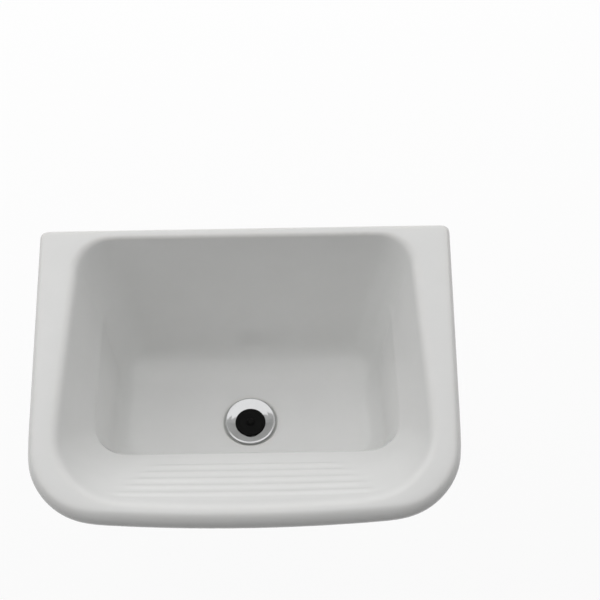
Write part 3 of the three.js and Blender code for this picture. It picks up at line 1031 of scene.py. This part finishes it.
# %% Store how sharply each piece curves
def mark_curvature(piece, passes):
    """The attribute "curvature", in 1/m and positive on outer edges, averaged over neighbours."""
    mesh = piece.data
    count = len(mesh.vertices)
    places = np.empty(3 * count)
    normals = np.empty(3 * count)
    ends = np.empty(2 * len(mesh.edges), dtype=np.int32)
    mesh.vertices.foreach_get("co", places)
    mesh.vertex_normals.foreach_get("vector", normals)
    mesh.edges.foreach_get("vertices", ends)
    places, normals = places.reshape(-1, 3), normals.reshape(-1, 3)
    first, second = ends.reshape(-1, 2).T
    span = places[first] - places[second]
    squared = np.maximum((span**2).sum(1), 1e-12)
    at_first = 2 * (normals[first] * span).sum(1) / squared
    at_second = -2 * (normals[second] * span).sum(1) / squared
    neighbours = np.bincount(first, minlength=count) + np.bincount(second, minlength=count)

    def gathered(for_first, for_second):
        total = np.bincount(first, for_first, count) + np.bincount(second, for_second, count)
        return total / neighbours

    curvature = gathered(at_first, at_second)
    for _ in range(passes):
        curvature = (curvature + gathered(curvature[second], curvature[first])) / 2
    attribute = mesh.attributes.new("curvature", "FLOAT", "POINT")
    attribute.data.foreach_set("value", curvature.astype(np.float32))
    low, high = np.percentile(curvature, (1, 99))
    print(f"{piece.name}: curvature mostly from {low:.0f} to {high:.0f} per metre")


mark_curvature(sink, passes=12)
for piece in (waste_flange, upper_seal, lower_seal, friction_washer, backnut, plug):
    mark_curvature(piece, passes=1)

# %% [markdown]
# A material is a tree of nodes. Drawn by hand, every node is placed, set and wired for itself. The
# helpers below do the same in a line for each node, so that a finish reads from its broadest tone to
# its smallest mark.


# %% Helpers for nodes
def add_node(tree, kind, inputs=None, **options):
    """A new node with its options and with values or links in its inputs."""
    made = tree.nodes.new("ShaderNode" + kind)
    for option, value in options.items():
        setattr(made, option, value)
    for socket, value in (inputs or {}).items():
        if isinstance(value, bpy.types.NodeSocket):
            tree.links.new(value, made.inputs[socket])
        else:
            made.inputs[socket].default_value = value
    return made


def add_math(tree, operation, a, b, clamped=True):
    return add_node(tree, "Math", {0: a, 1: b}, operation=operation, use_clamp=clamped).outputs[0]


def add_mix(tree, share, a, b):
    """Colour a with colour b laid over it by share."""
    return add_node(tree, "Mix", {0: share, 6: a, 7: b}, data_type="RGBA").outputs[2]


def lay_over(tree, tone, mask, strength, colour):
    """A tone with a colour over it where the mask is, and no more of it than strength."""
    return add_mix(tree, add_math(tree, "MULTIPLY", mask, strength), tone, (*colour, 1))


def add_range(tree, value, low, high, start=0.0, end=1.0):
    """Value, taken from start..end to low..high and kept between them."""
    ranged = {"Value": value, 1: start, 2: end, 3: low, 4: high}
    return add_node(tree, "MapRange", ranged).outputs["Result"]


def new_group(name, inputs, outputs):
    """An empty node group with named sockets, and its input sockets and output node."""
    group = bpy.data.node_groups.new(name, "ShaderNodeTree")
    for socket, kind, value in inputs:
        made = group.interface.new_socket(socket, in_out="INPUT", socket_type="NodeSocket" + kind)
        if value is not None:
            made.default_value = value
    for socket in outputs:
        group.interface.new_socket(socket, in_out="OUTPUT", socket_type="NodeSocketFloat")
    print("group", name, "with", ", ".join(socket for socket, *_ in inputs))
    entry = group.nodes.new("NodeGroupInput").outputs
    return group, entry, group.nodes.new("NodeGroupOutput")


# %% [markdown]
# Four effects are shared, each a node group that is built once and placed with its own values in
# every material that needs it. Clouds are soft uneven patches of two sizes, for anything that isn't
# quite the same all over. Specks are small round spots, scattered with gaps. Worn edges turns the
# curvature into two masks: edge, whose border is ragged, and hollow. Turned marks are the fine rings
# that a lathe tool, a polishing mop or a turned mould leaves, so they depend on the distance from
# the axis and on the height only.

# %% Group: clouds
clouds, entry, result = new_group(
    "clouds", [("Vector", "Vector", None), ("Scale", "Float", 10.0)], ["Value"]
)
finer = add_math(clouds, "MULTIPLY", entry["Scale"], 4.3, clamped=False)
wide, close = [
    add_node(clouds, "TexNoise", {"Vector": entry["Vector"], "Scale": scale, "Detail": detail})
    for scale, detail in ((entry["Scale"], 3.0), (finer, 2.0))
]
both = add_node(clouds, "Mix", {0: 0.35, 2: wide.outputs[0], 3: close.outputs[0]})
spread = add_range(clouds, both.outputs[0], 0.0, 1.0, 0.32, 0.68)
clouds.links.new(spread, result.inputs["Value"])

# %% Group: specks
specks, entry, result = new_group(
    "specks",
    [("Vector", "Vector", None), ("Scale", "Float", 50.0), ("Size", "Float", 0.1),
     ("Share", "Float", 0.1)],
    ["Mask"],
)
cells = add_node(specks, "TexVoronoi", {"Vector": entry["Vector"], "Scale": entry["Scale"]})
chosen = add_node(specks, "SeparateColor", {0: cells.outputs["Color"]})
present = add_math(specks, "LESS_THAN", chosen.outputs[0], entry["Share"])
own_size = add_math(specks, "MULTIPLY", entry["Size"], chosen.outputs[1])
spot = add_range(specks, cells.outputs["Distance"], 1.0, 0.0, 0.0, own_size)
spot.node.interpolation_type = "SMOOTHSTEP"
mask = add_math(specks, "MULTIPLY", spot, present)
specks.links.new(mask, result.inputs["Mask"])

# %% Group: worn edges
worn_edges, entry, result = new_group(
    "worn_edges",
    [("Vector", "Vector", None), ("Full At", "Float", 100.0), ("Ragged", "Float", 200.0)],
    ["Edge", "Hollow"],
)
curvature = add_node(worn_edges, "Attribute", attribute_name="curvature").outputs["Fac"]
relative = add_math(worn_edges, "DIVIDE", curvature, entry["Full At"], clamped=False)
ragged = add_node(worn_edges, "TexNoise", {"Vector": entry["Vector"], "Scale": entry["Ragged"]})
limit = add_range(worn_edges, ragged.outputs[0], 0.5, 1.5, 0.3, 0.7)
convex = add_math(worn_edges, "MULTIPLY", relative, limit)
inverse = add_math(worn_edges, "MULTIPLY", relative, -1.0)
worn_edges.links.new(convex, result.inputs["Edge"])
worn_edges.links.new(inverse, result.inputs["Hollow"])

# %% Group: turned marks
turned_marks, entry, result = new_group(
    "turned_marks", [("Vector", "Vector", None), ("Scale", "Float", 1500.0)], ["Value"]
)
parts = add_node(turned_marks, "SeparateXYZ", {0: entry["Vector"]}).outputs
flat = add_node(turned_marks, "CombineXYZ", {0: parts[0], 1: parts[1]}).outputs[0]
radius = add_node(turned_marks, "VectorMath", {0: flat}, operation="LENGTH").outputs["Value"]
section = add_node(turned_marks, "CombineXYZ", {0: radius, 2: parts[2]}).outputs[0]
lookup = {"Vector": section, "Scale": entry["Scale"], "Detail": 3.0}
grooves = add_node(turned_marks, "TexNoise", lookup)
uneven = add_range(turned_marks, grooves.outputs[0], 0.0, 1.0, 0.3, 0.7)
turned_marks.links.new(uneven, result.inputs["Value"])


# %% A material to fill in
def new_material(name, **fixed):
    """A material with a shader, whose fixed values are the same all over, and object coordinates."""
    material = bpy.data.materials.new(name)
    material.use_nodes = True
    tree = material.node_tree
    shader = tree.nodes["Principled BSDF"]
    for socket, value in fixed.items():
        shader.inputs[socket.replace("_", " ")].default_value = value
    return material, tree, shader, add_node(tree, "TexCoord").outputs["Object"]


def place_group(tree, group, vector, **values):
    placed = add_node(tree, "Group", node_tree=group)
    tree.links.new(vector, placed.inputs["Vector"])
    for socket, value in values.items():
        placed.inputs[socket.replace("_", " ")].default_value = value
    return placed.outputs


def about_waste(tree, vector):
    """Coordinates with the waste's axis as their origin."""
    moved = {"Vector": vector, "Location": (0, waste_out, 0)}
    return add_node(tree, "Mapping", moved).outputs[0]


def connect(tree, shader, colour, roughness, height, distance, strength=1.0):
    """Feeds a finish's colour, roughness and relief to its shader."""
    bump = add_node(tree, "Bump", {"Height": height, "Distance": distance, "Strength": strength})
    tree.links.new(colour, shader.inputs["Base Color"])
    tree.links.new(roughness, shader.inputs["Roughness"])
    tree.links.new(bump.outputs[0], shader.inputs["Normal"])


def coat(material, *pieces):
    for piece in pieces:
        piece.data.materials.clear()
        piece.data.materials.append(material)
    print(material.name, "on", ", ".join(piece.name for piece in pieces))


# %% [markdown]
# The glaze is a thick opaque white glass. It is never quite even: the body shows through a little,
# warmer, where it ran thin over the edges, and it is cooler and a touch greener where it pooled in
# the hollows. Soft clouds vary it by a few percent, and a few pin-sized specks are the iron in the
# clay. Its skin is very slightly wavy, like orange peel, which breaks up the reflections.

# %% The glaze
glaze, tree, shader, place = new_material("white_glaze", Metallic=0.0, IOR=1.52)
broad = place_group(tree, clouds, place, Scale=6.0)["Value"]
fine = place_group(tree, clouds, place, Scale=38.0)["Value"]
curved = place_group(tree, worn_edges, place, Full_At=90.0, Ragged=60.0)
spots = place_group(tree, specks, place, Scale=70.0, Size=0.07, Share=0.05)["Mask"]
tone = add_mix(tree, broad, (0.745, 0.745, 0.738, 1), (0.718, 0.719, 0.711, 1))
tone = lay_over(tree, tone, fine, 0.3, (0.700, 0.703, 0.694))
tone = lay_over(tree, tone, curved["Hollow"], 0.55, (0.66, 0.68, 0.65))
tone = lay_over(tree, tone, curved["Edge"], 0.30, (0.72, 0.70, 0.665))
tone = lay_over(tree, tone, spots, 0.45, (0.30, 0.26, 0.20))
dull = add_range(tree, fine, 0.085, 0.15)
peel = add_node(tree, "TexNoise", {"Vector": place, "Scale": 150.0, "Detail": 2.0}).outputs[0]
connect(tree, shader, tone, dull, peel, 0.0002, 0.25)
coat(glaze, sink)

# %% [markdown]
# The chrome is bright and nearly mirror-smooth on the flange, with faint rings from the polishing
# mop, dried water spots and a few dull smears. Down the tail, where nobody polishes, the plating is
# thin and dull, so its roughness rises below the floor and the brass warms it a little. Its hollows,
# the thread's roots among them, are darkened as painted shade.

# %% The chrome
chrome, tree, shader, place = new_material("polished_chrome", Metallic=1.0)
centred = about_waste(tree, place)
rings = place_group(tree, turned_marks, centred, Scale=1400.0)["Value"]
smears = place_group(tree, clouds, place, Scale=55.0)["Value"]
spots = place_group(tree, specks, place, Scale=260.0, Size=0.34, Share=0.22)["Mask"]
curved = place_group(tree, worn_edges, place, Full_At=1600.0, Ragged=500.0)
height = add_node(tree, "SeparateXYZ", {0: place}).outputs[2]
unpolished = add_range(tree, height, 1.0, 0.0, plug_low.z - 0.004, plug_low.z + 0.004)
tone = add_mix(tree, smears, (0.72, 0.725, 0.73, 1), (0.69, 0.696, 0.702, 1))
tone = lay_over(tree, tone, spots, 0.35, (0.56, 0.57, 0.57))
tone = lay_over(tree, tone, unpolished, 0.7, (0.55, 0.53, 0.48))
# painted shade: the chrome is darkened in its hollows and in the thread's roots, where shade falls
tone = lay_over(tree, tone, curved["Hollow"], 0.4, (0.34, 0.33, 0.31))
dull = add_range(tree, smears, 0.05, 0.12)
dull = add_math(tree, "ADD", dull, add_math(tree, "MULTIPLY", spots, 0.12))
dull = add_math(tree, "ADD", dull, add_math(tree, "MULTIPLY", unpolished, 0.25))
connect(tree, shader, tone, dull, rings, 0.00002, 0.22)
coat(chrome, waste_flange)

# %% [markdown]
# Rubber swallows most light. The plug is black and still fairly smooth from its mould, greyed by
# chalky water marks and scuffed on its rim. The two seals are a dark grey rubber with a coarser
# grain and specks of pale dust.


# %% The rubbers
def rubber(name, base, pale, dullness, shine, grain_scale, dust):
    """A moulded rubber whose rim is scuffed pale and whose surface has dusty patches."""
    material, tree, shader, place = new_material(name, Metallic=0.0, Specular_IOR_Level=shine)
    patches = place_group(tree, clouds, place, Scale=70.0)["Value"]
    curved = place_group(tree, worn_edges, place, Full_At=1500.0, Ragged=700.0)
    spots = place_group(tree, specks, place, Scale=420.0, Size=0.3, Share=dust)["Mask"]
    rings = place_group(tree, turned_marks, about_waste(tree, place), Scale=900.0)["Value"]
    grain = add_node(tree, "TexNoise", {"Vector": place, "Scale": grain_scale, "Detail": 3.0})
    tone = (*base, 1)
    for mask, strength in ((patches, 0.35), (curved["Edge"], 0.4), (spots, 0.6)):
        tone = lay_over(tree, tone, mask, strength, pale)
    dull = add_range(tree, patches, dullness - 0.08, dullness + 0.08)
    relief = add_node(tree, "Mix", {0: 0.3, 2: grain.outputs[0], 3: rings}).outputs[0]
    connect(tree, shader, tone, dull, relief, 0.00006, 0.5)
    return material


black = rubber(
    "black_rubber", base=(0.003, 0.003, 0.003), pale=(0.010, 0.010, 0.0095),
    dullness=0.66, shine=0.10, grain_scale=1800.0, dust=0.12,
)
grey = rubber(
    "grey_rubber", base=(0.048, 0.049, 0.050), pale=(0.12, 0.118, 0.112),
    dullness=0.78, shine=0.35, grain_scale=1100.0, dust=0.2,
)
coat(black, plug)
coat(grey, upper_seal, lower_seal)

# %% [markdown]
# The washer is a milky plastic that is slippery so that the nut can turn on it. It yellows a little,
# and its surface keeps the fine swirl of the moulding. The nut is turned brass: bright rings on its
# faces, brown tarnish in patches, and clean metal on the edges that a wrench rubs.

# %% The washer's plastic
plastic, tree, shader, place = new_material("milky_plastic", Metallic=0.0, IOR=1.51)
patches = place_group(tree, clouds, place, Scale=60.0)["Value"]
curved = place_group(tree, worn_edges, place, Full_At=2500.0, Ragged=600.0)
rings = place_group(tree, turned_marks, about_waste(tree, place), Scale=1100.0)["Value"]
tone = add_mix(tree, patches, (0.74, 0.725, 0.675, 1), (0.66, 0.63, 0.55, 1))
tone = lay_over(tree, tone, curved["Edge"], 0.5, (0.80, 0.79, 0.75))
dull = add_range(tree, patches, 0.36, 0.50)
connect(tree, shader, tone, dull, rings, 0.00003, 0.5)
coat(plastic, friction_washer)

# %% The nut's brass
brass, tree, shader, place = new_material("turned_brass", Metallic=1.0)
patches = place_group(tree, clouds, place, Scale=48.0)["Value"]
curved = place_group(tree, worn_edges, place, Full_At=1800.0, Ragged=420.0)
spots = place_group(tree, specks, place, Scale=240.0, Size=0.4, Share=0.18)["Mask"]
rings = place_group(tree, turned_marks, about_waste(tree, place), Scale=1200.0)["Value"]
tarnish = add_math(tree, "MULTIPLY", patches, 0.65)
tone = add_mix(tree, tarnish, (0.66, 0.47, 0.20, 1), (0.36, 0.235, 0.10, 1))
tone = lay_over(tree, tone, spots, 0.5, (0.20, 0.13, 0.06))
tone = lay_over(tree, tone, curved["Edge"], 0.7, (0.78, 0.60, 0.31))
dull = add_range(tree, patches, 0.26, 0.44)
connect(tree, shader, tone, dull, rings, 0.00005, 0.6)
coat(brass, backnut)

# %% [markdown]
# ## Camera, light and floor
# The camera is the photograph's. It could be set by eye, but then no edge could be compared, so its
# place, its turn and its lens were worked out from the rim and the waste's ring.

# %% The camera
focal_pixels = 2200.5
image_pixels = 600
pitch = radians(60.968)
yaw = radians(1.088)
roll = radians(-1.890)
deselect()
bpy.ops.object.camera_add(location=(0.0915, -1.3890, 2.3264))
camera = bpy.context.object
camera.data.sensor_width = 36
camera.data.lens = focal_pixels / image_pixels * camera.data.sensor_width
aimed = Matrix.Rotation(yaw, 3, "Z") @ Matrix.Rotation(pi / 2 - pitch, 3, "X")
camera.rotation_euler = (aimed @ Matrix.Rotation(roll, 3, "Z")).to_euler()
bpy.context.scene.camera = camera
print("lens", round(camera.data.lens, 1), "mm, distance", round(camera.location.length, 3))

# %% [markdown]
# The light is a plain studio's. The broadest softbox stands behind the wall's side and looks over
# the back rim, so that the washboard is bright and the bowl's back wall lies in soft shade. A
# second one is on the left, a weaker one on the right, and one hangs overhead and reaches down to
# the floor of the bowl. Two low ones can't reach into the bowl: one behind lights the lugs and the
# recess, and a weak one in front lights the rim's roll and what lies below it. The softboxes are
# hidden from the camera and from reflections, where they would be blown out. The surround is even.
# To the camera, and in the metal and the glaze, it is pure white, and it lights the sink at a lower
# level of its own, which Light Path keeps apart.

# %% The surround
surround_level = 0.11
world = bpy.data.worlds.new("studio")
bpy.context.scene.world = world
world.use_nodes = True
tree = world.node_tree


def seen_or_mirrored(tree):
    """1 for what the camera sees, straight, in a reflection or through glass, and otherwise 0."""
    path = add_node(tree, "LightPath").outputs
    seen = add_math(tree, "MAXIMUM", path["Is Camera Ray"], path["Is Glossy Ray"])
    return add_math(tree, "MAXIMUM", seen, path["Is Transmission Ray"])


level = add_range(tree, seen_or_mirrored(tree), surround_level, 1.0)
tree.links.new(level, tree.nodes["Background"].inputs["Strength"])
tree.nodes["Background"].inputs["Color"].default_value = (1, 1, 1, 1)
print("surround lights at", surround_level, "and is seen at 1")


# %% The lamps
def softbox(name, power, size, place, target=(0, -0.2, -0.05)):
    bpy.ops.object.light_add(type="AREA", location=place)
    lamp = bpy.context.object
    lamp.name = name
    lamp.data.energy = power
    lamp.data.shape = "RECTANGLE"
    lamp.data.size, lamp.data.size_y = size
    lamp.rotation_euler = (Vector(target) - Vector(place)).to_track_quat("-Z", "Y").to_euler()
    lamp.visible_camera = False
    lamp.visible_glossy = False
    print("softbox", name, power, "W")


softbox("behind", 58, (5.6, 2.6), (0, 2.0, 1.45))
softbox("left", 33, (3.0, 2.6), (-2.6, -0.2, 1.9))
softbox("right", 14, (2.0, 2.0), (2.6, -0.2, 1.9))
softbox("overhead", 24, (2.8, 2.2), (0, -0.1, 2.6))
softbox("front", 1.8, (2.6, 1.2), (0, -2.4, 0.7))
softbox("low_rear", 8, (2.4, 0.6), (0, 1.8, -0.40))
softbox("low_front", 2, (2.4, 0.6), (0, -2.2, -0.40))

# %% [markdown]
# The floor lies well below the sink, which hangs on a wall that isn't shown. To the camera it is
# white, for the most part from its own glow, so the sink's shadow stays on it but is faint, and far
# off it is all glow and runs into the white surround. It throws less light up at the sink than a
# white floor would, and from below it is clear, so that the underside can be looked at.

# %% The floor
deselect()
floor_height = -0.80
bpy.ops.mesh.primitive_plane_add(size=12, location=(0, 0, floor_height))
ground = named("floor")
material, tree, shader, place = new_material("white_floor", Roughness=0.9)
glow = add_node(tree, "Emission").outputs[0]
seen = seen_or_mirrored(tree)
tree.links.new(
    add_mix(tree, seen, (0.22, 0.22, 0.22, 1), (0.9, 0.9, 0.9, 1)), shader.inputs["Base Color"]
)
distance = add_node(tree, "VectorMath", {0: place}, operation="LENGTH").outputs["Value"]
glow_share = add_range(tree, distance, 0.87, 1.0, 0.6, 4.0)
own_glow = add_math(tree, "MULTIPLY", seen, glow_share)
lit = add_node(tree, "MixShader", {0: own_glow, 1: shader.outputs[0], 2: glow}).outputs[0]
clear = add_node(tree, "BsdfTransparent").outputs[0]
from_below = add_node(tree, "NewGeometry").outputs["Backfacing"]
surface = add_node(tree, "MixShader", {0: from_below, 1: lit, 2: clear}).outputs[0]
tree.links.new(surface, tree.nodes["Material Output"].inputs["Surface"])
ground.data.materials.append(material)
bpy.context.scene.view_settings.view_transform = "Standard"
print("floor at", floor_height)
